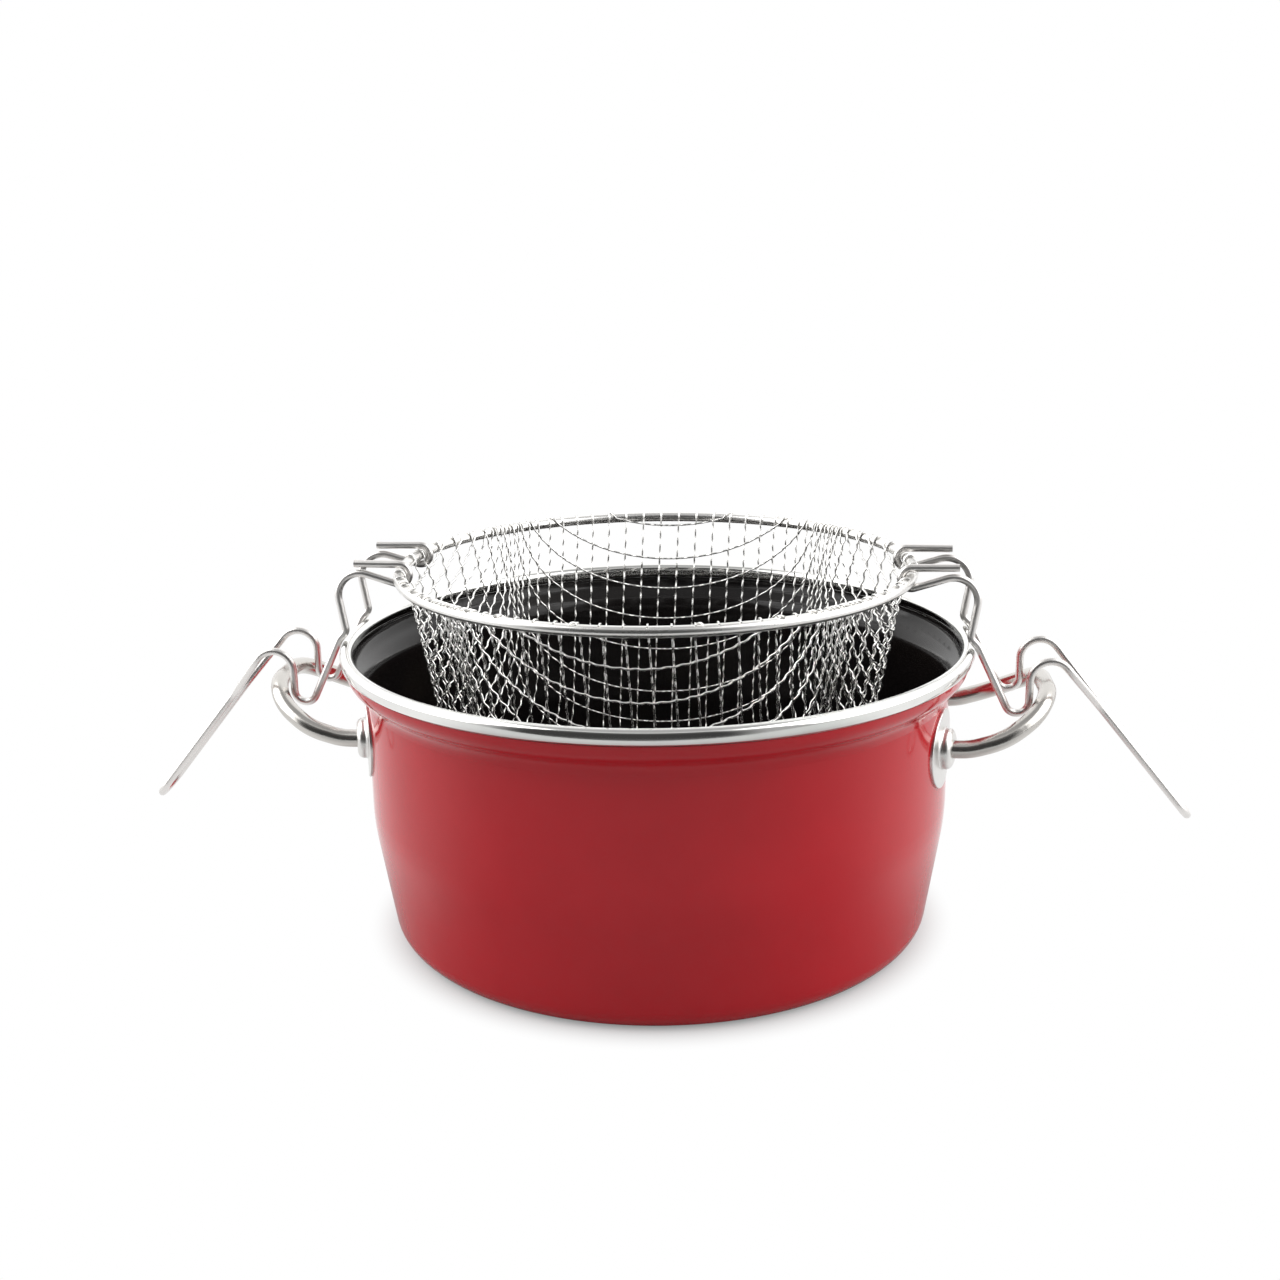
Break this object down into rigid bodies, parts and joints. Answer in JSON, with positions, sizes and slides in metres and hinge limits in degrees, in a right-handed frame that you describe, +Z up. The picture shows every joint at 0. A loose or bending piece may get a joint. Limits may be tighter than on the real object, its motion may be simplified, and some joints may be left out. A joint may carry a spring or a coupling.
{
  "type": "deep fryer pot",
  "caption": "Enamelled steel pot with a rolled steel rim, two loop handles and a lift-out wire mesh basket whose two bent wire handles stand on the rim",
  "frame": {"origin": "middle of the foot ring's underside, on the surface that the pot stands on", "axes": "X runs from the left loop handle to the right one, Y from front to rear, Z up"},
  "size_m": [0.4274, 0.252, 0.1526],
  "materials": {
    "bare_steel": "bare pressed steel",
    "red_enamel": "glossy red vitreous enamel",
    "black_enamel": "glossy black vitreous enamel",
    "polished_steel": "polished stainless steel",
    "plated_wire": "bright plated wire"
  },
  "bodies": {
    "pot": {"pot_shell": "bare_steel", "outer_enamel": "red_enamel", "inner_enamel": "black_enamel", "base_enamel": "black_enamel", "rim_band": "polished_steel", "left_front_flange": "polished_steel", "left_rear_flange": "polished_steel", "right_front_flange": "polished_steel", "right_rear_flange": "polished_steel", "left_flange_welds": "bare_steel", "right_flange_welds": "bare_steel", "left_loop_handle": "polished_steel", "right_loop_handle": "polished_steel"},
    "basket": {"basket_ring": "plated_wire", "basket_mesh": "plated_wire", "mesh_wire_ends": "plated_wire"},
    "left_grip": {"left_basket_handle": "plated_wire"},
    "right_grip": {"right_basket_handle": "plated_wire"}
  },
  "joints": [
    {"name": "basket_lift", "type": "slide", "parent": "pot", "child": "basket", "axis": [0, 0, 1], "range_m": [0, 0.12]},
    {"name": "right_handle_swing", "type": "hinge", "parent": "basket", "child": "right_grip", "pos_m": [0.09979, 0, 0.1471], "axis": [0, -1, 0], "range_deg": [0, 50.1]},
    {"name": "left_handle_swing", "type": "hinge", "parent": "basket", "child": "left_grip", "pos_m": [-0.09979, 0, 0.1471], "axis": [0, 1, 0], "range_deg": [0, 50.1]}
  ],
  "couplings": [
    {"joint": "right_handle_swing", "follows": "basket_lift", "rad_per_m": 7.2722},
    {"joint": "left_handle_swing", "follows": "basket_lift", "rad_per_m": 7.2722}
  ]
}
